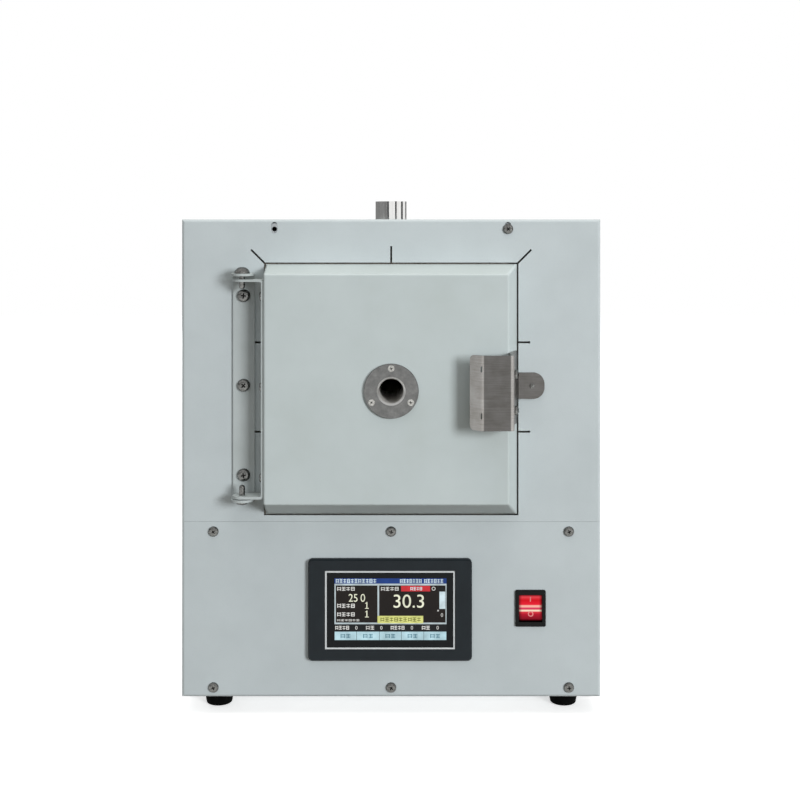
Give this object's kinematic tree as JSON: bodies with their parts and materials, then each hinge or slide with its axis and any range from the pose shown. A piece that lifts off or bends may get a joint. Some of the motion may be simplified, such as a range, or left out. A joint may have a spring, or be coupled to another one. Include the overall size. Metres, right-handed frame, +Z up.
{
  "type": "benchtop muffle furnace",
  "caption": "Benchtop muffle furnace: sheet-metal cabinet on rubber feet, side-hinged pan door with observation port and latch handle, vent spigot, touch display and rocker switch.",
  "frame": {"origin": "on the bench under the feet, in the middle of everything in plan", "axes": "+X to the right seen from the front, +Y to the rear, +Z up"},
  "size_m": [0.356, 0.4524, 0.4404],
  "materials": {
    "cabinet_paint": "satin light grey powder coat",
    "zinc_sheet": "bright zinc plate",
    "hinge_paint": "satin light grey powder coat",
    "rubber": "matt black",
    "screw_steel": "nickel plate",
    "brushed_stainless": "brushed along its length",
    "polished_stainless": "polished",
    "turned_aluminium": "turned",
    "fibre_board": "matt white ceramic fibre",
    "fibre_rope": "woven ceramic fibre",
    "dense_ceramic": "matt alumina",
    "heater_alloy": "oxidised resistance alloy",
    "magnet": "plain",
    "black_plastic": "fine matt black",
    "display_glass": "glossy, lit",
    "rocker_red": "lit translucent red",
    "supply_case": "perforated zinc plate"
  },
  "bodies": {
    "cabinet": {"base_tray": "zinc_sheet", "lower_front_panel": "cabinet_paint", "upper_front_panel": "cabinet_paint", "outer_cover": "cabinet_paint", "rear_panel": "cabinet_paint", "divider_shelf": "zinc_sheet", "front_crossbar": "zinc_sheet", "rear_crossbar": "zinc_sheet", "rubber_feet": "rubber", "foot_screws": "screw_steel", "lower_panel_screws": "screw_steel", "upper_panel_screw": "screw_steel", "rear_panel_screws": "screw_steel", "inner_jacket": "brushed_stainless", "mouth_block": "fibre_board", "muffle": "dense_ceramic", "insulation_top": "fibre_board", "insulation_bottom": "fibre_board", "insulation_left": "fibre_board", "insulation_right": "fibre_board", "insulation_rear": "fibre_board", "left_heater": "heater_alloy", "right_heater": "heater_alloy", "heater_terminals": "dense_ceramic", "thermocouple": "dense_ceramic", "vent_tube": "dense_ceramic", "vent_spigot": "polished_stainless", "fixed_hinge_bracket": "hinge_paint", "hinge_screws": "screw_steel", "pivot_screws": "screw_steel", "pivot_washer": "screw_steel", "latch_magnet": "magnet", "display_bezel": "black_plastic", "display_screen": "display_glass", "display_housing": "black_plastic", "display_clamps": "zinc_sheet", "switch_frame": "black_plastic", "mains_inlet": "black_plastic", "inlet_screws": "screw_steel", "heat_sink": "turned_aluminium", "solid_state_relay": "black_plastic", "power_supply": "supply_case"},
    "door": {"door_pan": "cabinet_paint", "door_insulation": "fibre_board", "door_liner": "brushed_stainless", "door_seal": "fibre_rope", "observation_tube": "brushed_stainless", "port_ring": "turned_aluminium", "port_screws": "screw_steel", "door_hinge_bracket": "hinge_paint", "web_screws": "screw_steel", "door_handle": "brushed_stainless", "handle_screws": "screw_steel", "latch_stud": "screw_steel"},
    "rocker": {"switch_rocker": "rocker_red"}
  },
  "joints": [
    {"name": "door_hinge", "type": "hinge", "parent": "cabinet", "child": "door", "pos_m": [-0.125, -0.19075, 0.28], "axis": [0, 0, -1], "range_deg": [0, 120]},
    {"name": "rocker_switch", "type": "hinge", "parent": "cabinet", "child": "rocker", "pos_m": [0.1183, -0.17275, 0.0908], "axis": [1, 0, 0], "range_deg": [0, 20]}
  ]
}
